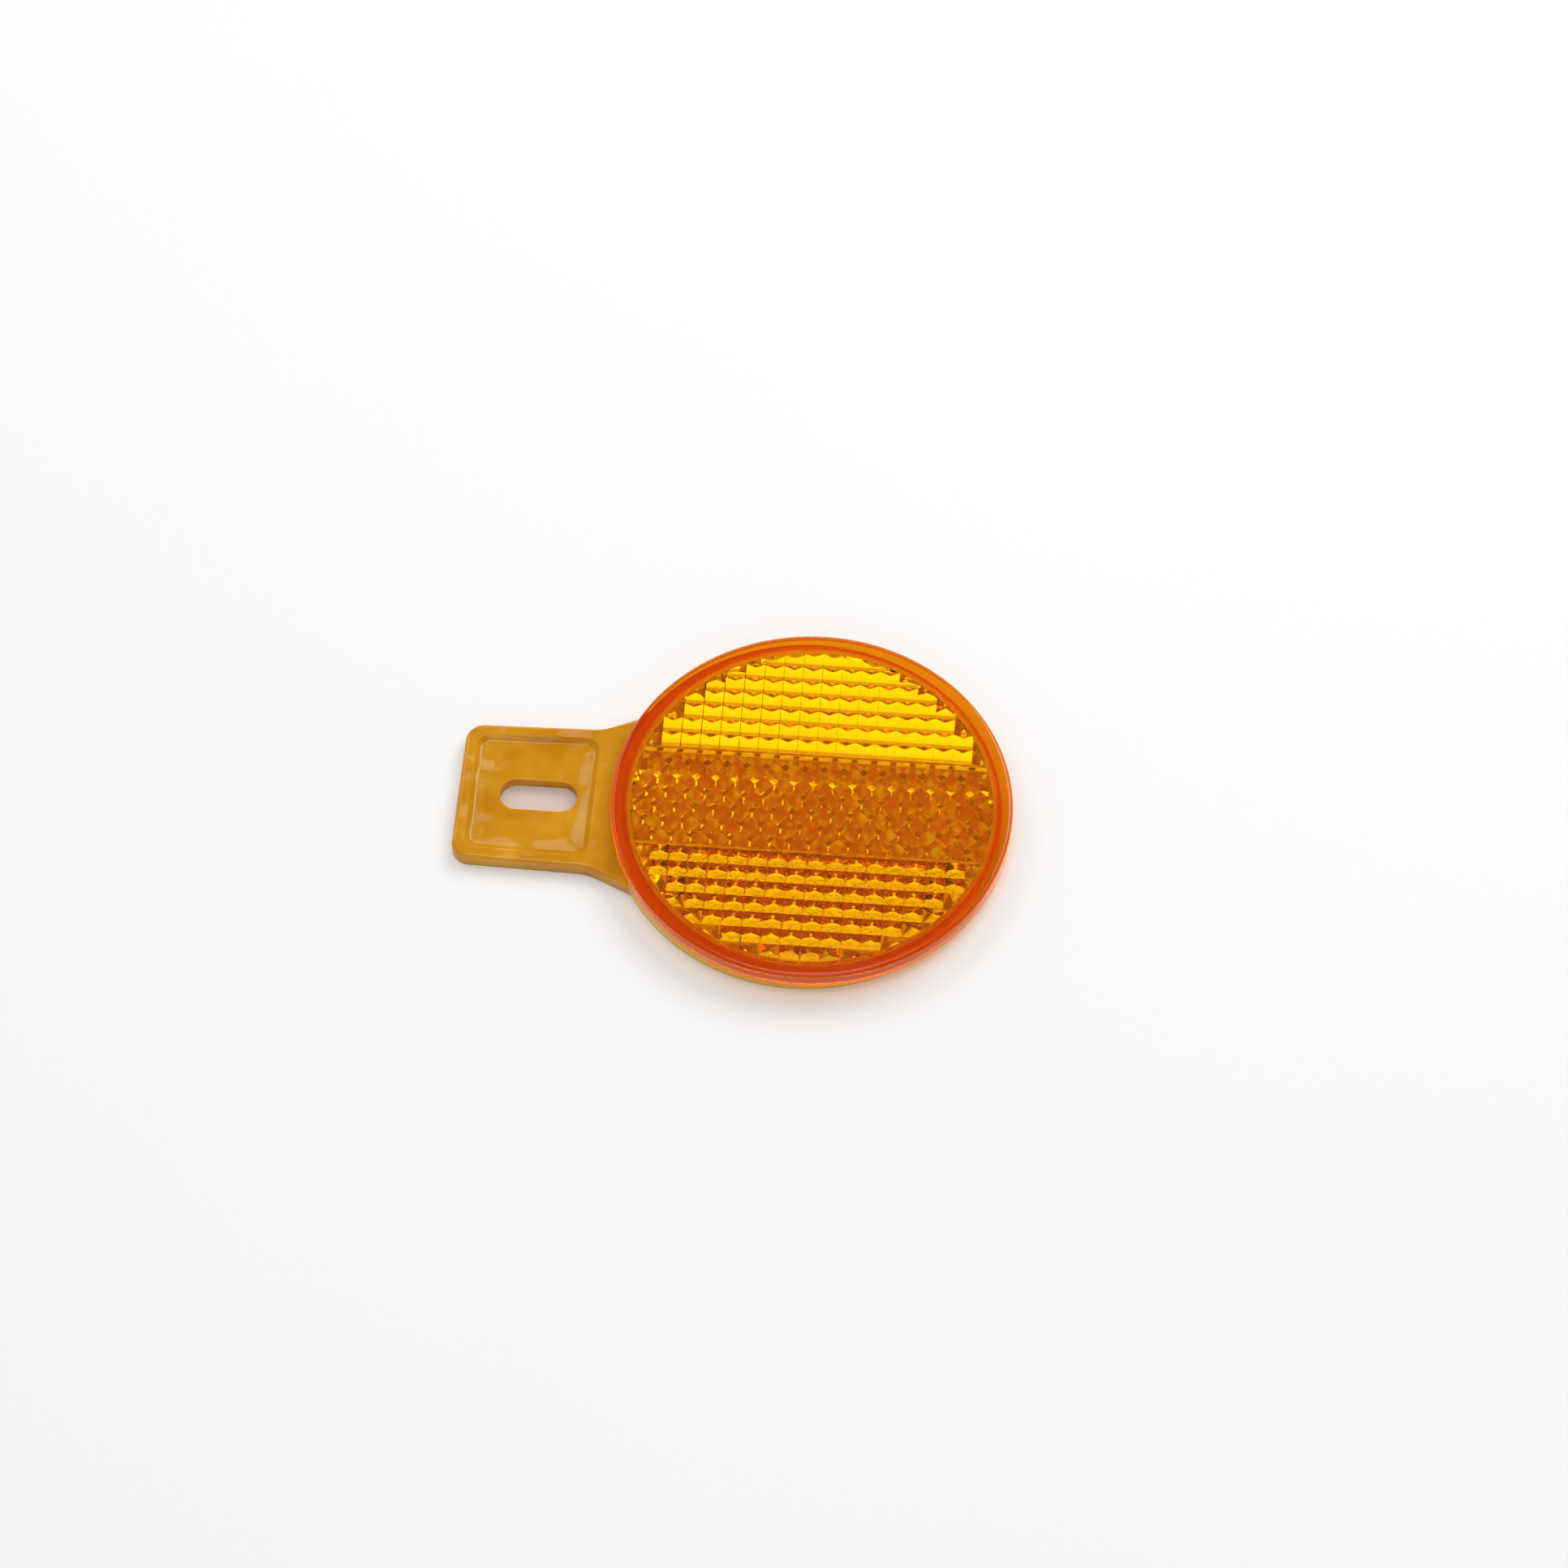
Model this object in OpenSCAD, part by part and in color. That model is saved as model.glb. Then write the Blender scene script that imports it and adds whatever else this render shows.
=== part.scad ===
// Round spoke reflector: a moulded amber lens with three bands of prisms behind
// its front skin, closed at the back by a moulded plate with a slotted tab.
// The frame: +Z towards the front of the lens, the tab towards -Y, and the
// origin on the flat back face, on the axis of the lens. The pieces are drawn
// with the tab towards -X, so that the rows of prisms run along X, and turned.

/* [Lens] */
// Outer diameter of the lens
lens_d = 60; // [50:1:90]
// Thickness of the clear skin in front of the prisms
skin_t = 1.2; // [0.8:0.1:2]
// Thickness of the lens wall that stands on the plate
wall_t = 2.2; // [1.2:0.1:4]
// Radius of the rounded front edge
lens_edge_r = 0.7; // [0.2:0.1:0.8]

/* [Prisms] */
// Width of a prism across its flats, in every band
cell_w = 2.93; // [2.4:0.01:3.6]
// Pitch of the rows in the two outer bands
row_pitch = 2.62; // [2.2:0.01:3.2]
// Height of the middle band of upright prisms
middle_band_h = 16.4; // [8:0.2:24]
// Plain strip between the middle band and an outer band
band_gap = 0.5; // [0.2:0.1:1.5]
// Tilt of the outer prisms away from upright, in degrees
cant = 8; // [0:1:20]

/* [Back plate] */
// Thickness of the plate at its edge, under the lens wall
plate_t = 2.2; // [2:0.1:3.2]
// Thickness of the plate's floor behind the prisms
floor_t = 1.2; // [0.8:0.1:1.7]
// How far the plate reaches under the lens wall, on the side away from the tab
plate_lap = 0.6; // [0.3:0.1:1]
// Height of the rib that centres the lens, above the plate
rib_h = 0.9; // [0.5:0.1:1.2]
// Width of that rib
rib_w = 0.6; // [0.4:0.1:2]

/* [Clearances] */
// Gap between the tips of the prisms and the plate's floor
tip_gap = 0.2; // [0.1:0.05:0.5]
// Bond line between the lens wall and the plate
bond_gap = 0.05; // [0.02:0.01:0.1]
// Gap on each side of the centring rib, and round the lens in its seat
side_gap = 0.1; // [0.05:0.01:0.15]

/* [Tab] */
// Length of the tab, from the lens edge to its outer end
tab_l = 23; // [20:0.5:40]
// Width of the tab at its neck
neck_w = 24.4; // [18:0.2:28]
// Width of the tab at its outer end
end_w = 23.4; // [18:0.2:28]
// Distance from the lens edge to the neck, where the flares start
neck_reach = 2.5; // [1.5:0.5:5]
// Angle of the flares that run from the neck to the lens, in degrees
flare_angle = 24; // [10:1:32]
// Radius of the outer corners of the tab
corner_r = 2.8; // [1:0.1:5]
// Radius where the tab's sides turn into the flares
neck_r = 7; // [3:0.5:10]
// How far the tab's rim stands above the seat of the lens
seat_step = 0.2; // [0.1:0.05:1]
// Radius of the tab's rounded front edges
tab_edge_r = 0.6; // [0.2:0.1:0.8]

/* [Dish in the tab] */
// Depth of the shallow dish moulded into the front of the tab
dish_depth = 0.6; // [0.2:0.1:1]
// Width of the rim left round the dish
rim_w = 1.3; // [1:0.1:2.5]
// Radius of the dish's corners at its rim
dish_corner_r = 2.6; // [1.5:0.1:5]
// Width of the soft slope between the rim and the dish's floor
slope_w = 1.5; // [0.5:0.1:2.5]
// Width of the collar left between the lens and the dish
collar_w = 2.1; // [1.2:0.1:4]

/* [Slot] */
// Distance between the centres of the slot's round ends
slot_travel = 6.5; // [3:0.1:8]
// Width of the slot
slot_w = 5.3; // [4.2:0.1:8.4]
// Distance from the outer end of the tab to the centre of the slot
slot_setback = 12; // [9:0.5:14]

/* [Hidden] */

// Angle by which the drawn pieces are turned into the frame
frame_turn = 90;
// Facets of a full circle, degrees between the points of a small arc, layers
// in a rounded edge, and layers in the dish's slope
round_fn = 120;
arc_step = 9;
edge_steps = 4;
slope_steps = 5;
// Overlap of two volumes that join, and how far a cut runs past a face
weld = 0.2;
past = 1;
// Thickness of the thin land that the prisms stand on, and how far the
// upright walls between their rows lean, so that they leave the mould
land = 0.05;
draft_run = 0.06;
// Smallest radius that a corner keeps when its outline moves inwards
tightest_r = 0.4;

// Upright corner cube: the faces' slope and the depth of a hexagonal cell
cube_angle = atan(sqrt(2));
hex_side = cell_w / sqrt(3);
hex_depth = hex_side * tan(cube_angle);

// Tilted corner cube in a rectangular cell: one steep face across the row, and
// two roof faces that meet in a ridge along it and end at an upright wall
steep_slope = tan(cube_angle + cant);
ridge_slope = tan(90 - cube_angle - cant);
roof_slope = 1 / cos(90 - cube_angle - cant);
half_cell = cell_w / 2;
roof_fall = roof_slope * half_cell;
steep_run = (roof_fall + ridge_slope * (row_pitch - draft_run)) / (steep_slope + ridge_slope);
valley_run = steep_run - roof_fall / (steep_slope + ridge_slope);
tip_depth = steep_slope * steep_run;
prism_depth = land + max(hex_depth, tip_depth);

// Heights, from the back face to the front
root_z = floor_t + tip_gap + prism_depth;
front_z = root_z + skin_t;

tab_t = plate_t + seat_step;
foot_z = plate_t + bond_gap;

// Radii, from the axis out
lens_r = lens_d / 2;
cavity_r = lens_r - wall_t;
rib_r = cavity_r - side_gap;
recess_r = rib_r - rib_w;
field_r = recess_r - side_gap;
seat_r = lens_r + side_gap;

// Disc of the plate: level with the lens edge at the tab, and set in elsewhere
lap_r = cavity_r + plate_lap;
plate_r = (lens_r + lap_r) / 2;
plate_x = -(lens_r - lap_r) / 2;

// Rows and columns of prisms, enough to cover the round field
outer_band_y = middle_band_h / 2 + band_gap;
outer_rows = ceil((field_r - outer_band_y) / row_pitch);
columns = 2 * ceil(field_r / cell_w);
hex_rungs = 2 * ceil(middle_band_h / hex_side / 2) + 2;

// Tab, with the points where its flares run in under the lens
end_x = -lens_r - tab_l;
neck_x = -lens_r - neck_reach;
slot_x = end_x + slot_setback;
root = entry([neck_x, neck_w / 2], [cos(flare_angle), sin(flare_angle)], lap_r);

// Corners of the outline of the tab, anticlockwise, and the radius at each; a
// radius below zero marks a hollow corner
tab_corners = [
    root,
    [neck_x, neck_w / 2],
    [end_x, end_w / 2],
    [end_x, -end_w / 2],
    [neck_x, -neck_w / 2],
    [root[0], -root[1]],
];
tab_radii = [0, -neck_r, corner_r, corner_r, -neck_r, 0];

// The same for the dish, before its outline moves inwards by the rim's width
dish_x = rim_w - lens_r - collar_w;
dish_corners = [
    [dish_x, neck_w / 2],
    [end_x, end_w / 2],
    [end_x, -end_w / 2],
    [dish_x, -neck_w / 2],
];
dish_radii = [for (corner = dish_corners) dish_corner_r + rim_w];

// Direction from a to b, and the direction a quarter turn to the left of v
function way(a, b) = (b - a) / norm(b - a);
function left(v) = [-v[1], v[0]];

// Where two lines meet, each given by a point p and a direction v
function meet(p1, v1, p2, v2) =
    p1 + v1 * ((p2 - p1) * left(v2)) / (v1 * left(v2));

// Where the line from p in direction v first enters the circle of radius r
function entry(p, v, r) =
    p - v * (p * v + sqrt((p * v) ^ 2 - p * p + r ^ 2));

// Corner b between a and c, when both its sides move inwards by d
function inset_corner(a, b, c, d) =
    let (v1 = way(a, b), v2 = way(b, c))
    meet(b + left(v1) * d, v1, b + left(v2) * d, v2);

// Points of the arc of radius r that rounds corner b between a and c
function corner_arc(a, b, c, r) =
    let (
        v1 = way(a, b),
        v2 = way(b, c),
        turn = acos(v1 * v2),
        inward = left(v1) * sign(left(v1) * v2),
        centre = b - v1 * r * tan(turn / 2) + inward * r,
        steps = ceil(turn / arc_step)
    )
    [for (i = [0 : steps])
        let (a = turn * i / steps)
        centre + (v1 * sin(a) - inward * cos(a)) * r];

// A closed outline with its corners rounded, moved inwards by d
function rounded(corners, radii, d) =
    let (
        n = len(corners),
        moved = [for (i = [0 : n - 1])
            inset_corner(corners[(i + n - 1) % n], corners[i], corners[(i + 1) % n], d)]
    )
    [for (i = [0 : n - 1])
        let (r = radii[i])
        each (r == 0
            ? [moved[i]]
            : corner_arc(moved[(i + n - 1) % n], moved[i], moved[(i + 1) % n],
                         max(abs(r) - sign(r) * d, tightest_r)))];

// Mean of a list of points
function middle(points) =
    [for (p = points) 1] * points / len(points);

// Closed solid through a stack of outlines, each layer being [outline, z], with
// both ends closed by a fan of triangles round the middle of the outline
module loft(layers) {
    n = len(layers[0][0]);
    last = len(layers) - 1;
    base_hub = (last + 1) * n;
    top_hub = base_hub + 1;
    rims = [for (layer = layers) for (p = layer[0]) [p[0], p[1], layer[1]]];
    hubs = [for (layer = [layers[0], layers[last]])
        let (m = middle(layer[0]))
        [m[0], m[1], layer[1]]];
    faces = [for (i = [0 : n - 1])
        let (j = (i + 1) % n)
        each concat(
            [[base_hub, i, j], [top_hub, last * n + j, last * n + i]],
            [for (k = [0 : last - 1])
                [k * n + i, (k + 1) * n + i, (k + 1) * n + j, k * n + j]])];
    polyhedron(concat(rims, hubs), faces, convexity = 6);
}

// Closed solid between a pleated surface and a flat lid above it. The surface
// is a grid of [x, y, z]: columns in order of x, each in order of y
module pleated_slab(grid, lid_z) {
    n = len(grid[0]);
    last = len(grid) - 1;
    ring = concat(
        [for (k = [0 : last]) k * n],
        [for (i = [1 : n - 1]) last * n + i],
        [for (k = [last - 1 : -1 : 0]) k * n + n - 1],
        [for (i = [n - 2 : -1 : 1]) i]);
    pleats = [for (k = [0 : last - 1]) for (i = [0 : n - 2])
        let (a = k * n + i, b = a + n)
        each (k % 2 == 1
            ? [[a, b, b + 1], [a, b + 1, a + 1]]
            : [[a, b, a + 1], [b, b + 1, a + 1]])];
    surface = [for (column = grid) each column];
    lid = len(surface);
    centre = lid + len(ring);
    points = concat(surface, [for (i = ring) [surface[i][0], surface[i][1], lid_z]],
                    [[0, (surface[0][1] + surface[n - 1][1]) / 2, lid_z]]);
    sides = [for (i = [0 : len(ring) - 1])
        let (j = (i + 1) % len(ring))
        each [[ring[i], lid + i, lid + j, ring[j]], [lid + i, centre, lid + j]]];
    polyhedron(points, concat(pleats, sides), convexity = 10);
}

// Outer band of tilted prisms, in the half where y is above zero. Columns
// alternate between the valleys beside the prisms and the ridges along them
module outer_band() {
    grid = [for (k = [0 : 2 * columns])
        let (
            ridge = k % 2 == 1,
            x = (k - columns) * half_cell,
            end_depth = ridge ? roof_fall : 0,
            tip_run = ridge ? steep_run : valley_run
        )
        [for (row = [0 : outer_rows - 1])
            let (y = outer_band_y + row * row_pitch)
            each [
                [x, y, root_z - land],
                [x, y + tip_run, root_z - land - tip_run * steep_slope],
                [x, y + row_pitch - draft_run, root_z - land - end_depth],
            ]]];
    intersection() {
        pleated_slab(grid, root_z + weld);
        cylinder(h = front_z, r = field_r, $fn = round_fn);
    }
}

// Middle band of upright prisms, a lattice of hexagonal corner cubes. Along a
// column the depths repeat: a tip, then a root, then a corner half way
module middle_band() {
    depths = [hex_depth, 0, hex_depth / 2];
    grid = [for (k = [0 : 2 * columns])
        [for (m = [0 : hex_rungs])
            let (kind = (m - floor(k / 2) + 2 * k) % 3)
            [(k - columns) * half_cell,
             (m - hex_rungs / 2 + (k % 2) / 2) * hex_side,
             root_z - land - depths[kind]]]];
    intersection() {
        pleated_slab(grid, root_z + weld);
        linear_extrude(front_z) intersection() {
            circle(r = field_r, $fn = round_fn);
            square([2 * lens_r, middle_band_h], center = true);
        }
    }
}

// Skin, rounded front edge and wall of the lens, as one turned section
module lens_shell() {
    edge = [for (a = [0 : arc_step : 90])
        [lens_r - lens_edge_r * (1 - cos(a)), front_z - lens_edge_r * (1 - sin(a))]];
    rotate_extrude($fn = round_fn)
        polygon(concat(
            [[0, root_z], [cavity_r, root_z], [cavity_r, foot_z], [lens_r, foot_z]],
            edge,
            [[0, front_z]]));
}

module lens() {
    color("darkorange") rotate(frame_turn) union() {
        lens_shell();
        outer_band();
        mirror([0, 1, 0]) outer_band();
        middle_band();
    }
}

// Tab and flares, with rounded front edges; its foot runs below the back face
module tab_stock() {
    round_over = [for (i = [0 : edge_steps])
        let (a = 90 * i / edge_steps)
        [rounded(tab_corners, tab_radii, tab_edge_r * (1 - cos(a))),
         tab_t - tab_edge_r * (1 - sin(a))]];
    loft(concat([[rounded(tab_corners, tab_radii, 0), -past]], round_over));
}

// Disc of the plate, which runs past both its faces
module disc_stock() {
    translate([plate_x, 0, -past / 2])
        cylinder(h = plate_t + past, r = plate_r, $fn = round_fn);
}

// Shallow dish in the front of the tab, with a soft slope up to its rim; the
// slope ends a little above the rim, so that the two cross cleanly
module dish() {
    loft([for (i = [0 : slope_steps])
        let (t = i / slope_steps)
        [rounded(dish_corners, dish_radii, rim_w + slope_w * (1 - t)),
         tab_t - dish_depth + (dish_depth + weld) * (1 - cos(180 * t)) / 2]]);
}

// Slot with round ends, right through the tab
module slot() {
    translate([slot_x, 0, -past])
        linear_extrude(tab_t + 2 * past) {
            square([slot_travel, slot_w], center = true);
            for (side = [-1, 1])
                translate([side * slot_travel / 2, 0]) circle(d = slot_w, $fn = round_fn);
        }
}

module back_plate() {
    color("goldenrod") rotate(frame_turn) difference() {
        union() {
            difference() {
                union() {
                    disc_stock();
                    difference() {
                        tab_stock();
                        dish();
                        slot();
                    }
                }
                // Back face
                translate([end_x - past, -lens_r, -2 * past])
                    cube([lens_r - end_x, lens_d, 2 * past]);
                // Seat of the lens, let into the neck
                translate([0, 0, plate_t]) cylinder(h = tab_t, r = seat_r, $fn = round_fn);
            }
            // Stock of the rib that centres the lens, close inside its wall
            translate([0, 0, floor_t / 2])
                cylinder(h = plate_t + rib_h - floor_t / 2, r = rib_r, $fn = round_fn);
        }
        // Recess behind the prisms
        translate([0, 0, floor_t]) cylinder(h = front_z, r = recess_r, $fn = round_fn);
    }
}

lens();
back_plate();
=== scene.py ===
import logging
import math
from dataclasses import dataclass, field
from enum import Enum
from typing import Any, Sequence

import bmesh
import bpy
from mathutils import Matrix, Vector

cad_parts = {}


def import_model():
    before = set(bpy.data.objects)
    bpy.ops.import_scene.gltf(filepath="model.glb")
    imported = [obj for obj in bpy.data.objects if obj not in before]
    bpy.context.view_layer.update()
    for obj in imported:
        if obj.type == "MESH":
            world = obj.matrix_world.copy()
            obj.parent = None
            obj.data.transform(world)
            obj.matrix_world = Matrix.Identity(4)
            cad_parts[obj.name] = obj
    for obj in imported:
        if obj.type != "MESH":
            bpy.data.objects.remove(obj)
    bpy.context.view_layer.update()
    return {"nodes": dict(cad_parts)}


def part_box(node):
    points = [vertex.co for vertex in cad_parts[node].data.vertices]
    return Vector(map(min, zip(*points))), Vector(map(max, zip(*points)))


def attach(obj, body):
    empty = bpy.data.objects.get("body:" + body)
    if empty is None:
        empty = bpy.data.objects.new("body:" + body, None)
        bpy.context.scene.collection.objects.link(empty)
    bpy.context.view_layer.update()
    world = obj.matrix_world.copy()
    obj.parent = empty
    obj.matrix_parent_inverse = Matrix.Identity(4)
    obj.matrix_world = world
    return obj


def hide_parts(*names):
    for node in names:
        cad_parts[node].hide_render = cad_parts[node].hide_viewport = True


LOG = logging.getLogger("spoke_reflector")
MM = 0.001
Triple = tuple[float, float, float]
Colour = Triple
WHITE: Colour = (1.0, 1.0, 1.0)

# A Mix node keeps its colour sockets behind the plain and the vector ones.
MIX_COLOURS = (6, 7)
MIX_RESULT = 2


class Axis(Enum):
    """A component of a position."""

    X = 0
    Y = 1
    Z = 2


@dataclass(frozen=True)
class Grain:
    """Noise that runs through a piece.

    Attributes:
        size_mm: Width of a typical blotch.
        octaves: Octaves of finer noise.
        warp: Distortion of the blotches.
    """

    size_mm: float
    octaves: float
    warp: float = 0.0


class Shading:
    """Builds one node material with short calls."""

    def __init__(self, name: str) -> None:
        """Starts the material.

        Args:
            name: Name of the finish, in plain words.
        """
        self.material = bpy.data.materials.new(name)
        self.material.use_nodes = True
        self.tree = self.material.node_tree
        self.shader = self.tree.nodes["Principled BSDF"]
        self.output = self.tree.nodes["Material Output"]

    def node(self, kind: str, **settings: Any) -> bpy.types.Node:
        """Adds a node.

        Args:
            kind: Name of the node's type.
            **settings: Attributes to set on the node.

        Returns:
            The new node.
        """
        new = self.tree.nodes.new(kind)
        for name, value in settings.items():
            setattr(new, name, value)
        return new

    def feed(self, socket: bpy.types.NodeSocket, value: Any) -> None:
        """Links or sets an input.

        Args:
            socket: The input.
            value: Another node's output, or a plain value.
        """
        if isinstance(value, bpy.types.NodeSocket):
            self.tree.links.new(value, socket)
        elif isinstance(value, tuple) and len(value) == 3 and len(socket.default_value) == 4:
            socket.default_value = (*value, 1.0)
        else:
            socket.default_value = value

    def dress(self, **values: Any) -> None:
        """Feeds inputs of the shader.

        Args:
            **values: Value of each input, under the input's name with underscores.
        """
        names = {name.lower().replace(" ", "_"): name for name in self.shader.inputs.keys()}
        for name, value in values.items():
            self.feed(self.shader.inputs[names[name]], value)

    def math(self, operation: str, *values: Any) -> bpy.types.NodeSocket:
        """Adds a Math node.

        Args:
            operation: The node's operation.
            *values: Its inputs, sockets or numbers.

        Returns:
            The node's output.
        """
        new = self.node("ShaderNodeMath", operation=operation)
        for socket, value in zip(new.inputs, values):
            self.feed(socket, value)
        return new.outputs[0]

    def vector(self, operation: str, *values: Any) -> bpy.types.Node:
        """Adds a Vector Math node.

        Args:
            operation: The node's operation.
            *values: Its inputs, sockets or triples.

        Returns:
            The node.
        """
        new = self.node("ShaderNodeVectorMath", operation=operation)
        for socket, value in zip(new.inputs, values):
            self.feed(socket, value)
        return new

    def parts(self, vector: Any) -> bpy.types.bpy_prop_collection:
        """Splits a vector.

        Args:
            vector: The vector.

        Returns:
            Its components, in the order of Axis.
        """
        apart = self.node("ShaderNodeSeparateXYZ")
        self.feed(apart.inputs[0], vector)
        return apart.outputs

    def position(self) -> bpy.types.NodeSocket:
        """Returns the position on the piece, in metres."""
        return self.node("ShaderNodeTexCoord").outputs["Object"]

    def noise(self, grain: Grain) -> bpy.types.NodeSocket:
        """Adds noise on object coordinates.

        Args:
            grain: The noise.

        Returns:
            The noise factor.
        """
        new = self.node("ShaderNodeTexNoise")
        self.feed(new.inputs["Vector"], self.position())
        self.feed(new.inputs["Scale"], 1.0 / (grain.size_mm * MM))
        self.feed(new.inputs["Detail"], grain.octaves)
        self.feed(new.inputs["Distortion"], grain.warp)
        return new.outputs["Fac"]

    def ramp(self, factor: Any, stops: Sequence[tuple[float, Colour]]) -> bpy.types.NodeSocket:
        """Adds a colour ramp.

        Args:
            factor: What drives the ramp.
            stops: Position and colour of each stop, in order.

        Returns:
            The ramp's colour.
        """
        new = self.node("ShaderNodeValToRGB")
        elements = new.color_ramp.elements
        while len(elements) > 1:
            elements.remove(elements[0])
        for index, (place, colour) in enumerate(stops):
            element = elements[0] if index == 0 else elements.new(place)
            element.position = place
            element.color = (*colour, 1.0)
        self.feed(new.inputs["Fac"], factor)
        return new.outputs["Color"]

    def mix(self, factor: Any, first: Any, second: Any) -> bpy.types.NodeSocket:
        """Blends two colours.

        Args:
            factor: Share of the second colour.
            first: Colour or socket at 0.
            second: Colour or socket at 1.

        Returns:
            The blended colour.
        """
        new = self.node("ShaderNodeMix", data_type="RGBA")
        self.feed(new.inputs["Factor"], factor)
        for index, value in zip(MIX_COLOURS, (first, second)):
            self.feed(new.inputs[index], value)
        return new.outputs[MIX_RESULT]

    def grade(self, value: Any, start: float, end: float) -> bpy.types.NodeSocket:
        """Grades softly from 0 to 1.

        Args:
            value: What is graded.
            start: Value at which the grade leaves 0.
            end: Value at which it comes to 1.

        Returns:
            The grade.
        """
        new = self.node("ShaderNodeMapRange", interpolation_type="SMOOTHSTEP")
        for name, given in (("Value", value), ("From Min", start), ("From Max", end)):
            self.feed(new.inputs[name], given)
        return new.outputs["Result"]

    def reach(self, start_mm: float, end_mm: float) -> bpy.types.NodeSocket:
        """Grades from 0 to 1 by the distance from the lens axis.

        Args:
            start_mm: Distance at which the grade leaves 0.
            end_mm: Distance at which it comes to 1.

        Returns:
            The grade.
        """
        flat = self.vector("MULTIPLY", self.position(), (1.0, 1.0, 0.0))
        length = self.vector("LENGTH", flat.outputs[0]).outputs["Value"]
        return self.grade(length, start_mm * MM, end_mm * MM)

    def rim_of(self, centre: Triple, half: Triple, round_mm: float,
               width_mm: float) -> bpy.types.NodeSocket:
        """Grades from 0 inside a rounded rectangle to 1 at its outline.

        Args:
            centre: Middle of the rectangle, in metres.
            half: Half its sizes, in metres, with 0 as the third.
            round_mm: Radius of its corners.
            width_mm: Width over which the grade rises.

        Returns:
            The grade.
        """
        away = self.vector("MULTIPLY", self.vector(
            "SUBTRACT", self.position(), centre).outputs[0], (1.0, 1.0, 0.0)).outputs[0]
        # A metre of height keeps Z out of the comparison.
        core = tuple(size - round_mm * MM for size in half[:2]) + (1.0,)
        past = self.vector("SUBTRACT", self.vector("ABSOLUTE", away).outputs[0], core).outputs[0]
        corner = self.vector("LENGTH", self.vector(
            "MAXIMUM", past, (0.0, 0.0, 0.0)).outputs[0]).outputs["Value"]
        side = self.math("MINIMUM", self.math("MAXIMUM", *self.parts(past)[:2]), 0.0)
        distance = self.math("SUBTRACT", self.math("ADD", corner, side), round_mm * MM)
        return self.grade(distance, -width_mm * MM, 0.0)

    def bump(self, height: Any, depth_mm: float, before: Any = None) -> bpy.types.NodeSocket:
        """Adds a bump.

        Args:
            height: Height field from 0 to 1.
            depth_mm: Its full depth in millimetres.
            before: Normal of an earlier bump.

        Returns:
            The bumped normal.
        """
        new = self.node("ShaderNodeBump")
        self.feed(new.inputs["Height"], height)
        self.feed(new.inputs["Strength"], 1.0)
        self.feed(new.inputs["Distance"], depth_mm * MM)
        if before is not None:
            self.feed(new.inputs["Normal"], before)
        return new.outputs["Normal"]


@dataclass(frozen=True)
class ClearAmber:
    """Clear amber moulded plastic, coloured by the way light takes through it.

    Attributes:
        absorbs: Colour that the body lets through; it absorbs the rest.
        density: Strength of the absorption, per metre.
        tint: Tint of the surface over the prisms.
        tint_deep: The same, where it is deeper.
        tint_grain: How the two alternate.
        tint_stops: Noise at which each of the two is reached.
        tint_wall: Tint of the wall.
        wall_mm: Radii between which the tint turns to the wall's.
        rough_grain: Unevenness of the polish.
        roughest: Roughness where the polish is worst.
        fleck_grain: Unevenness of the prisms' faces, which breaks the light in flecks.
        fleck_depth_mm: Depth of the unevenness.
        calm: Share of the depth in the upper band.
        calm_to_mm: X at which the upper band ends.
        clearness: Share of light that goes through.
        ior: Index of refraction.
    """

    absorbs: Colour = (0.982, 0.89, 0.0)
    density: float = 1000.0
    tint: Colour = (1.0, 0.92, 0.08)
    tint_deep: Colour = (1.0, 0.86, 0.06)
    tint_grain: Grain = Grain(9.0, 2.0)
    tint_stops: tuple[float, float] = (0.3, 0.7)
    tint_wall: Colour = (0.93, 0.42, 0.04)
    wall_mm: tuple[float, float] = (26.8, 27.8)
    rough_grain: Grain = Grain(1.5, 3.0)
    roughest: float = 0.02
    fleck_grain: Grain = Grain(0.7, 2.0)
    fleck_depth_mm: float = 0.018
    calm: float = 0.26
    calm_to_mm: float = -8.2
    clearness: float = 0.98
    ior: float = 1.49

    def material(self) -> bpy.types.Material:
        """Returns the material of the lens."""
        look = Shading("clear amber plastic")
        front = look.ramp(look.noise(self.tint_grain),
                          list(zip(self.tint_stops, (self.tint_deep, self.tint))))
        lower = look.math("GREATER_THAN", look.parts(look.position())[Axis.X.value],
                          self.calm_to_mm * MM)
        height = look.math("MULTIPLY", look.noise(self.fleck_grain), look.math(
            "MULTIPLY_ADD", lower, 1.0 - self.calm, self.calm))
        look.dress(
            base_color=look.mix(look.reach(*self.wall_mm), front, self.tint_wall),
            transmission_weight=self.clearness,
            ior=self.ior,
            roughness=look.math("MULTIPLY", look.noise(self.rough_grain), self.roughest),
            normal=look.bump(height, self.fleck_depth_mm))
        volume = look.node("ShaderNodeVolumeAbsorption")
        look.feed(volume.inputs["Color"], self.absorbs)
        look.feed(volume.inputs["Density"], self.density)
        look.feed(look.output.inputs["Volume"], volume.outputs[0])
        return look.material


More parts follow.
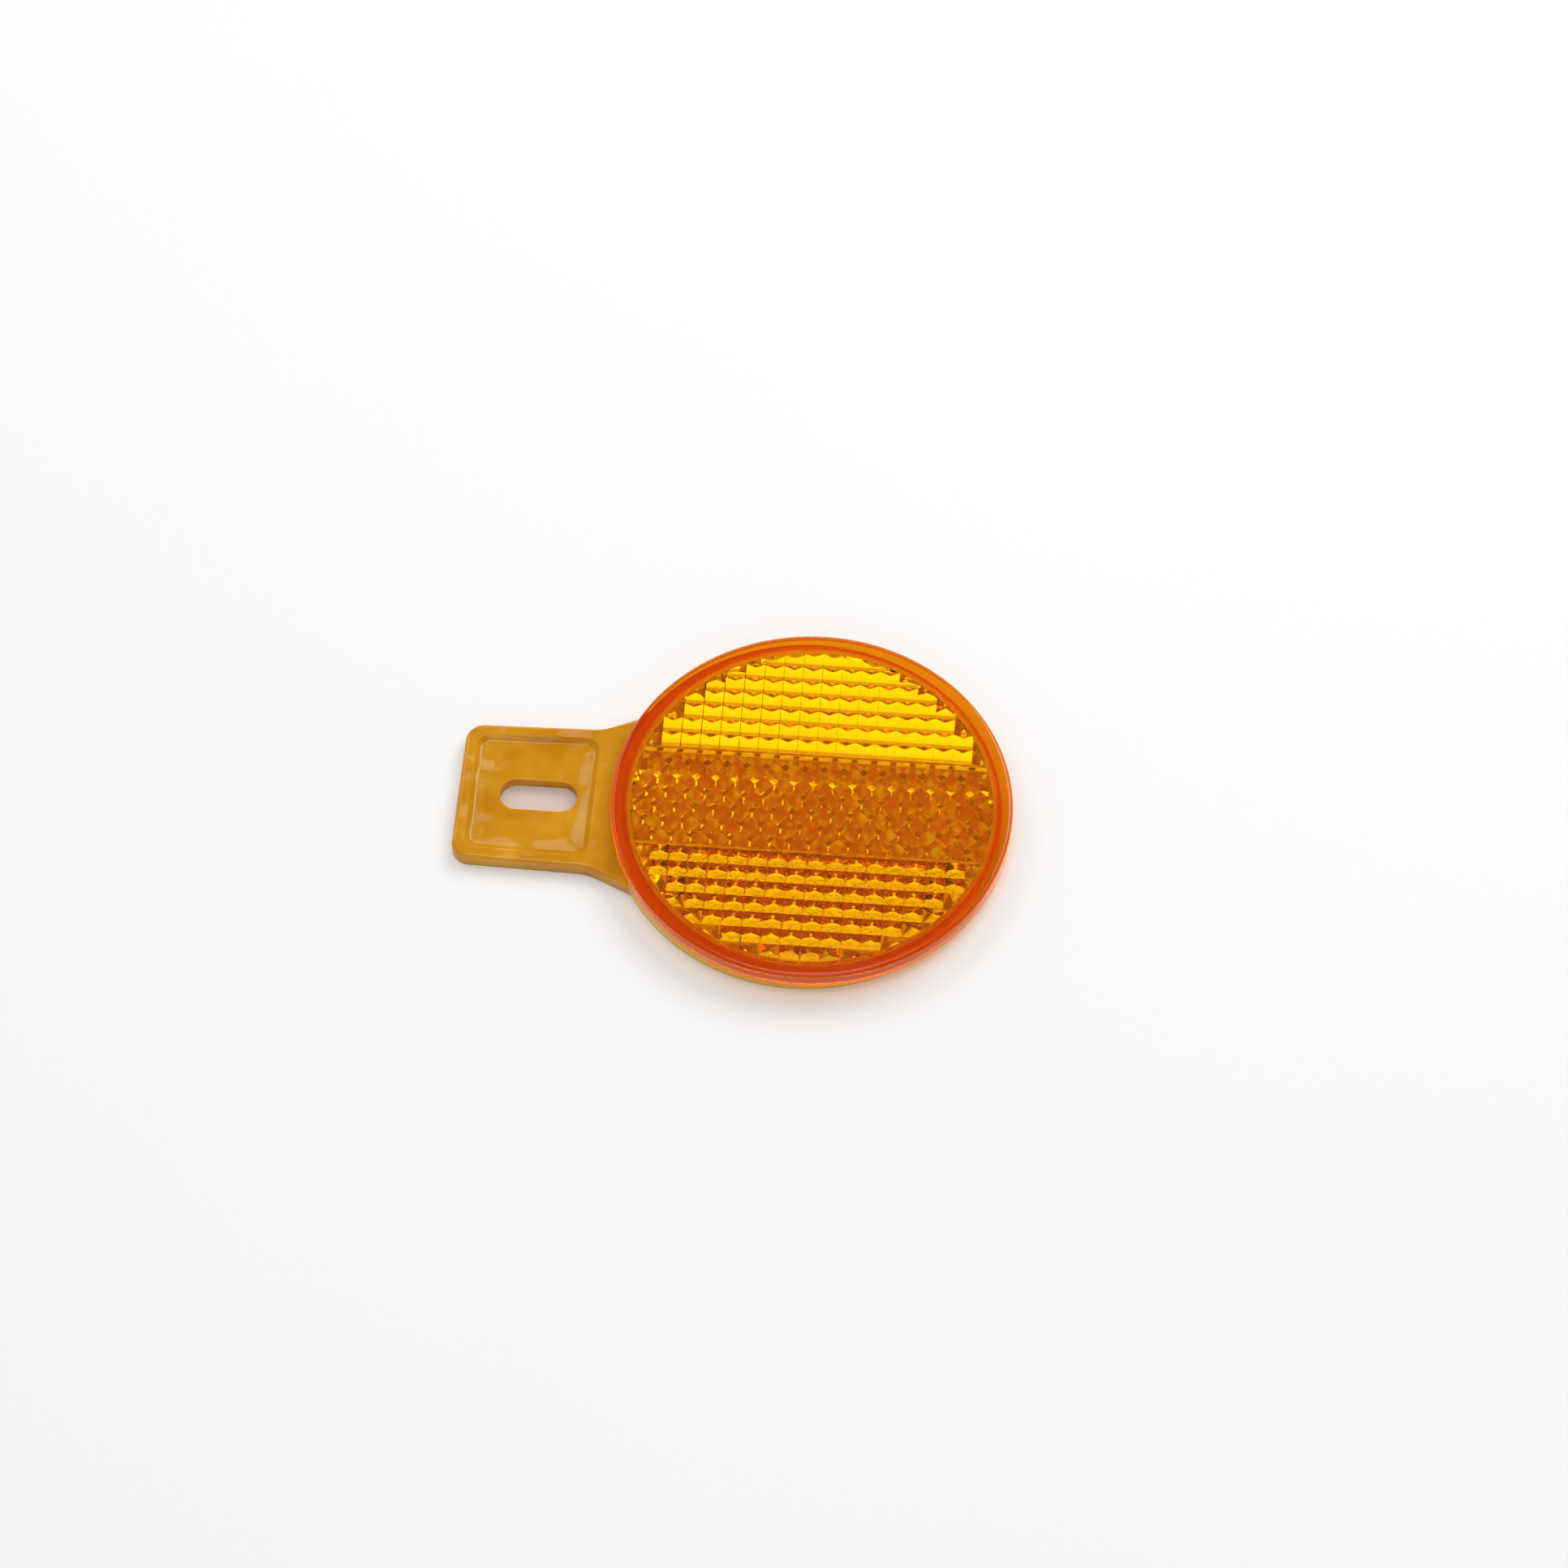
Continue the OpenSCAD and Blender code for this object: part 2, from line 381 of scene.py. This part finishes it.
@dataclass(frozen=True)
class OchrePlastic:
    """Yellow ochre moulded plastic, slightly see-through, with a soft gloss.

    Attributes:
        deep: Colour of the tab where it is deepest.
        pale: Colour of the tab where it is palest.
        colour_grain: How the two alternate.
        colour_stops: Noise at which each of the two is reached.
        painted_lit: Painted light: a brighter orange for the seat and the recess behind the
            prisms, as if lit through the lens.
        painted_glint: Painted glints: colour of the recess in the middle of each glint.
        painted_dark: Painted shade: colour of the recess between the glints.
        glint_mm: Width of one painted glint.
        glint_grain: How the painted glints vary in size.
        glint_swing: How much they vary.
        glint_stops: Distance from a painted glint's middle of the three painted colours.
        glints_mm: Radii between which the painted glints end; the milk rises there too.
        seat_mm: Radii between which the seat's painted light turns to the tab's own colour.
        dish_centre: Middle of the tab's dish, in metres.
        dish_half: Half the dish's sizes, in metres.
        dish_round_mm: Radius of the dish's corners.
        sink_mm: Width of the soft fall inside the dish's rim.
        sink_depth_mm: Depth of the fall.
        wave_grain: Gentle waves of the moulded surface.
        wave_depth_mm: Depth of the waves.
        skin_grain: Fine texture of the surface.
        skin_depth_mm: Depth of the texture.
        rough_grain: Unevenness of the gloss.
        roughness: Least roughness, and how much the unevenness adds.
        milk: Share of light that spreads inside the tab.
        glow: How far each colour spreads, against glow_mm.
        glow_mm: How far light spreads.
        ior: Index of refraction.
    """

    deep: Colour = (0.60, 0.25, 0.002)
    pale: Colour = (0.72, 0.35, 0.012)
    colour_grain: Grain = Grain(9.0, 2.0, 0.4)
    colour_stops: tuple[float, float] = (0.35, 0.65)
    painted_lit: Colour = (1.0, 0.55, 0.03)
    painted_glint: Colour = (1.0, 0.84, 0.12)
    painted_dark: Colour = (0.82, 0.24, 0.01)
    glint_mm: float = 1.7
    glint_grain: Grain = Grain(2.2, 2.0)
    glint_swing: float = 1.2
    glint_stops: Triple = (0.12, 0.30, 0.60)
    glints_mm: tuple[float, float] = (26.6, 27.2)
    seat_mm: tuple[float, float] = (29.7, 30.3)
    dish_centre: Triple = (0.0, -0.0419, 0.0)
    dish_half: Triple = (0.0106, 0.0098, 0.0)
    dish_round_mm: float = 2.6
    sink_mm: float = 3.6
    sink_depth_mm: float = 0.40
    wave_grain: Grain = Grain(7.0, 1.0)
    wave_depth_mm: float = 1.0
    skin_grain: Grain = Grain(0.8, 2.0)
    skin_depth_mm: float = 0.004
    rough_grain: Grain = Grain(3.0, 4.0)
    roughness: tuple[float, float] = (0.09, 0.10)
    milk: float = 0.7
    glow: Triple = (1.0, 0.55, 0.10)
    glow_mm: float = 1.5
    ior: float = 1.49

    def recess(self, look: Shading) -> bpy.types.NodeSocket:
        """Gives the recess behind the prisms painted glints, painted shade and painted light.

        Args:
            look: The material in the making.

        Returns:
            The colour.
        """
        # Painted glints and painted shade, in cells scattered over the recess.
        cells = look.node("ShaderNodeTexVoronoi", feature="F1")
        look.feed(cells.inputs["Vector"], look.position())
        look.feed(cells.inputs["Scale"], 1.0 / (self.glint_mm * MM))
        uneven = look.math("MULTIPLY_ADD", look.noise(self.glint_grain),
                           self.glint_swing, -self.glint_swing / 2)
        painted_glints = look.ramp(look.math("ADD", cells.outputs["Distance"], uneven),
                           list(zip(self.glint_stops, (self.painted_glint, self.painted_lit, self.painted_dark))))
        # Painted light round the painted glints, out to the seat.
        return look.mix(look.reach(*self.glints_mm), painted_glints, self.painted_lit)

    def relief(self, look: Shading) -> bpy.types.NodeSocket:
        """Shades the soft fall in the dish, the waves and the texture.

        Args:
            look: The material in the making.

        Returns:
            The normal.
        """
        sink = look.bump(look.rim_of(self.dish_centre, self.dish_half, self.dish_round_mm,
                                     self.sink_mm), self.sink_depth_mm)
        wave = look.bump(look.noise(self.wave_grain), self.wave_depth_mm, sink)
        return look.bump(look.noise(self.skin_grain), self.skin_depth_mm, wave)

    def material(self) -> bpy.types.Material:
        """Returns the material of the back plate."""
        look = Shading("ochre plastic")
        tab = look.ramp(look.noise(self.colour_grain),
                        list(zip(self.colour_stops, (self.deep, self.pale))))
        least, more = self.roughness
        look.dress(
            # Painted light and glints on the seat and the recess; the tab keeps its own colour.
            base_color=look.mix(look.reach(*self.seat_mm), self.recess(look), tab),
            subsurface_weight=look.math("MULTIPLY", look.reach(*self.glints_mm), self.milk),
            subsurface_radius=self.glow,
            subsurface_scale=self.glow_mm * MM,
            ior=self.ior,
            roughness=look.math("MULTIPLY_ADD", look.noise(self.rough_grain), more, least),
            normal=self.relief(look))
        return look.material


@dataclass(frozen=True)
class Polish:
    """How a mesh of the frame is cleaned before it is dressed.

    Attributes:
        sharp_deg: Edges that turn by more than this stay sharp.
        weld_mm: Corners nearer than this become one.
        sliver_mm: Edges shorter than this go.
        flat_deg: Level faces that turn by less than this become one.
        level: Least Z of the normal of a level face.
        weight: Say of the large faces in a corner's normal, 100 being the most.
    """

    sharp_deg: float
    weld_mm: float = 0.002
    sliver_mm: float = 0.001
    flat_deg: float = 0.3
    level: float = 0.99999
    weight: int = 100

    def clean(self, bm: bmesh.types.BMesh) -> None:
        """Welds the corners, joins the level faces and marks the sharp edges.

        Args:
            bm: The mesh.
        """
        bmesh.ops.remove_doubles(bm, verts=bm.verts, dist=self.weld_mm * MM)
        bmesh.ops.dissolve_degenerate(bm, edges=bm.edges, dist=self.sliver_mm * MM)
        bm.normal_update()
        level = {face for face in bm.faces if abs(face.normal.z) > self.level}
        bmesh.ops.dissolve_limit(
            bm, angle_limit=math.radians(self.flat_deg), use_dissolve_boundaries=False,
            verts=[vert for vert in bm.verts if level.issuperset(vert.link_faces)],
            edges=[edge for edge in bm.edges if level.issuperset(edge.link_faces)])
        for face in bm.faces:
            face.smooth = True
        sharp = math.radians(self.sharp_deg)
        for edge in bm.edges:
            edge.smooth = edge.is_manifold and edge.calc_face_angle(0.0) < sharp

    def copy(self, node: bpy.types.Object, name: str) -> bpy.types.Object:
        """Makes a moulding from a node of the frame.

        Args:
            node: The node in the frame.
            name: Name of the new piece.

        Returns:
            The new piece, at the origin.
        """
        mesh = bpy.data.meshes.new(name)
        bm = bmesh.new()
        bm.from_mesh(node.data)
        self.clean(bm)
        bm.to_mesh(mesh)
        bm.free()
        piece = bpy.data.objects.new(name, mesh)
        bpy.context.scene.collection.objects.link(piece)
        even = piece.modifiers.new("flat faces stay flat", "WEIGHTED_NORMAL")
        even.mode = "FACE_AREA"
        even.weight = self.weight
        even.keep_sharp = True
        return piece


@dataclass
class Lens:
    """The amber lens, a polished moulding."""

    finish: ClearAmber = field(default_factory=ClearAmber)
    polish: Polish = Polish(sharp_deg=16.0)

    def build(self, node: bpy.types.Object) -> None:
        """Builds and dresses the lens.

        Args:
            node: The lens in the frame.
        """
        piece = self.polish.copy(node, "amber_lens")
        piece.data.materials.append(self.finish.material())
        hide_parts("lens")
        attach(piece, "root")
        LOG.info("lens: %d faces", len(piece.data.polygons))


@dataclass
class BackPlate:
    """The back plate with its tab, a polished moulding."""

    finish: OchrePlastic = field(default_factory=OchrePlastic)
    polish: Polish = Polish(sharp_deg=30.0)

    def build(self, node: bpy.types.Object) -> None:
        """Builds and dresses the plate.

        Args:
            node: The plate in the frame.
        """
        piece = self.polish.copy(node, "ochre_back_plate")
        piece.data.materials.append(self.finish.material())
        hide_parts("back_plate")
        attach(piece, "root")
        LOG.info("back plate: %d faces", len(piece.data.polygons))


def direction(azimuth: float, elevation: float) -> Vector:
    """Gives the way from the part to a viewer.

    Args:
        azimuth: Degrees; 0 looks along +Y and 90 along -X.
        elevation: Degrees above the horizon.

    Returns:
        A unit vector.
    """
    turn = math.radians(azimuth)
    rise = math.radians(elevation)
    level = math.cos(rise)
    return Vector((math.sin(turn) * level, -math.cos(turn) * level, math.sin(rise)))


@dataclass(frozen=True)
class Lamp:
    """One soft lamp, aimed at the lens.

    Attributes:
        name: What it is.
        azimuth: Its place round the part, in degrees, as in direction().
        elevation: Its height, in degrees.
        distance: Its distance from the lens, in metres.
        width: Its width, in metres.
        height: Its height, in metres.
        watts: Its power.
        tint: Its colour.
    """

    name: str
    azimuth: float
    elevation: float
    distance: float
    width: float
    height: float
    watts: float
    tint: Colour = WHITE

    def hang(self) -> None:
        """Puts the lamp in the scene."""
        data = bpy.data.lights.new(self.name, "AREA")
        data.shape = "RECTANGLE"
        data.size, data.size_y = self.width, self.height
        data.energy = self.watts
        data.color = self.tint
        way = direction(self.azimuth, self.elevation)
        holder = bpy.data.objects.new(self.name, data)
        holder.matrix_world = (Matrix.Translation(way * self.distance)
                               @ way.to_track_quat("Z", "Y").to_matrix().to_4x4())
        bpy.context.scene.collection.objects.link(holder)


@dataclass
class Studio:
    """Pale floor, soft lamps, plain surroundings and the camera.

    Attributes:
        floor_half: Half the floor's width, in metres.
        floor_colour: Colour of the floor.
        floor_deep: Share of that colour where the paper is deepest.
        floor_grain: How the paper varies.
        floor_roughness: Roughness of the paper.
        floor_lift: Light added to the floor for the camera alone.
        slot_centre: Middle of the slot, in metres.
        slot_shade: Painted shade: colour of the floor behind the slot.
        slot_shade_mm: Distances between which that painted shade ends.
        ambient: Strength of the surroundings for the surfaces.
        mirrored: Their strength in reflections.
        seen_through: Their strength through clear plastic.
        azimuth: The camera's place, in degrees, as in direction().
        elevation: The camera's height, in degrees.
        distance: The camera's distance, in metres.
        photo_px: Width of the picture that px_per_mm and centre_px are counted in.
        px_per_mm: Scale of the picture.
        centre_px: Place of the lens's middle in the picture.
        sensor_mm: Width of the sensor.
        near: Nearest distance that the camera sees, in metres.
        bounces: Most bounces of a ray, as prisms send it on many times.
        lamps: The lamps. None of them stands where the flat front would mirror it
            to the camera.
    """

    floor_half: float = 1.5
    floor_colour: Colour = (0.92, 0.92, 0.92)
    floor_deep: float = 0.985
    floor_grain: Grain = Grain(60.0, 2.0)
    floor_roughness: float = 0.9
    floor_lift: float = 0.05
    slot_centre: Triple = (0.0, -0.041, 0.0)
    slot_shade: Colour = (0.68, 0.55, 0.47)
    slot_shade_mm: tuple[float, float] = (6.5, 8.5)
    ambient: float = 0.42
    mirrored: float = 0.05
    seen_through: float = 1.0
    azimuth: float = 94.3
    elevation: float = 57.8
    distance: float = 0.60
    photo_px: float = 1932.0
    px_per_mm: float = 8.285
    centre_px: tuple[float, float] = (1000.0, 987.2)
    sensor_mm: float = 36.0
    near: float = 0.01
    bounces: int = 14
    lamps: tuple[Lamp, ...] = (
        Lamp("low front softbox", 94.3, 37.0, 0.90, 0.65, 0.22, 0.52),
        Lamp("high front softbox", 94.3, 60.5, 0.90, 0.65, 0.06, 0.055),
        Lamp("top back softbox", 265.3, 74.0, 0.90, 0.14, 0.334, 0.14),
        Lamp("right softbox", 228.0, 42.0, 0.90, 0.56, 0.50, 2.80),
        Lamp("left softbox", 320.0, 42.0, 0.90, 0.45, 0.45, 1.00),
        Lamp("overhead softbox", 94.3, 86.0, 0.90, 0.56, 0.50, 1.70),
        Lamp("far softbox", 272.0, 35.0, 0.90, 0.34, 0.45, 0.80, (1.0, 0.94, 0.90)),
    )

    def camera(self, front: float) -> None:
        """Sets the camera at the photograph's angle.

        Args:
            front: Height of the front of the lens.
        """
        back = direction(self.azimuth, self.elevation)
        right = Vector((-back.y, back.x, 0.0)).normalized()
        up = back.cross(right)
        half = self.photo_px / 2
        scale = MM / self.px_per_mm
        target = (Vector((0.0, 0.0, front)) - right * (self.centre_px[0] - half) * scale
                  + up * (self.centre_px[1] - half) * scale)
        data = bpy.data.cameras.new("camera")
        data.sensor_width = self.sensor_mm
        data.lens = self.sensor_mm * self.px_per_mm / MM * self.distance / self.photo_px
        data.clip_start = self.near
        holder = bpy.data.objects.new("camera", data)
        turn = Matrix((right, up, back)).transposed().to_4x4()
        holder.matrix_world = Matrix.Translation(target + back * self.distance) @ turn
        bpy.context.scene.collection.objects.link(holder)
        bpy.context.scene.camera = holder

    def paper(self) -> bpy.types.Material:
        """Returns the floor's material, with painted shade where it shows through the slot."""
        look = Shading("studio paper")
        deep = tuple(self.floor_deep * part for part in self.floor_colour)
        paper = look.ramp(look.noise(self.floor_grain), [(0.0, deep), (1.0, self.floor_colour)])
        away = look.vector("DISTANCE", look.position(), self.slot_centre).outputs["Value"]
        # Painted shadow on the floor round the slot's middle, seen through the slot.
        shade = look.grade(away, *(MM * distance for distance in self.slot_shade_mm))
        seen = look.node("ShaderNodeLightPath").outputs["Is Camera Ray"]
        look.dress(
            base_color=look.mix(shade, self.slot_shade, paper),
            roughness=self.floor_roughness,
            emission_color=WHITE,
            emission_strength=look.math("MULTIPLY", seen, self.floor_lift))
        return look.material

    def floor(self) -> None:
        """Lays the floor under the part."""
        mesh = bpy.data.meshes.new("floor")
        bm = bmesh.new()
        bmesh.ops.create_grid(bm, x_segments=1, y_segments=1, size=self.floor_half)
        bm.to_mesh(mesh)
        bm.free()
        floor = bpy.data.objects.new("floor", mesh)
        bpy.context.scene.collection.objects.link(floor)
        mesh.materials.append(self.paper())

    def surroundings(self) -> None:
        """Sets the even light from all round, by the kind of ray that meets it."""
        world = bpy.data.worlds.new("plain room")
        world.use_nodes = True
        tree = world.node_tree
        glow = tree.nodes["Background"]
        glow.inputs["Color"].default_value = (*WHITE, 1.0)
        path = tree.nodes.new("ShaderNodeLightPath")
        strength: Any = None
        for ray, change in (("Is Camera Ray", 1.0 - self.ambient),
                            ("Is Glossy Ray", self.mirrored - self.ambient),
                            ("Is Transmission Ray", self.seen_through - self.mirrored)):
            step = tree.nodes.new("ShaderNodeMath")
            step.operation = "MULTIPLY_ADD"
            tree.links.new(path.outputs[ray], step.inputs[0])
            step.inputs[1].default_value = change
            if strength is None:
                step.inputs[2].default_value = self.ambient
            else:
                tree.links.new(strength, step.inputs[2])
            strength = step.outputs[0]
        tree.links.new(strength, glow.inputs["Strength"])
        bpy.context.scene.world = world

    def build(self, front: float) -> None:
        """Sets up the whole studio.

        Args:
            front: Height of the front of the lens.
        """
        self.camera(front)
        self.floor()
        self.surroundings()
        for lamp in self.lamps:
            lamp.hang()
        scene = bpy.context.scene
        scene.view_settings.view_transform = "Standard"
        scene.cycles.max_bounces = self.bounces
        scene.cycles.glossy_bounces = self.bounces
        scene.cycles.transmission_bounces = self.bounces
        LOG.info("studio: %d lamps", len(self.lamps))


def main() -> None:
    """Builds the reflector and its studio, in order."""
    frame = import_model()
    nodes = frame["nodes"]
    Studio().build(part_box("lens")[1][Axis.Z.value])
    Lens().build(nodes["lens"])
    BackPlate().build(nodes["back_plate"])


if __name__ == "__main__":
    logging.basicConfig(level=logging.INFO, format="%(name)s: %(message)s")
    main()
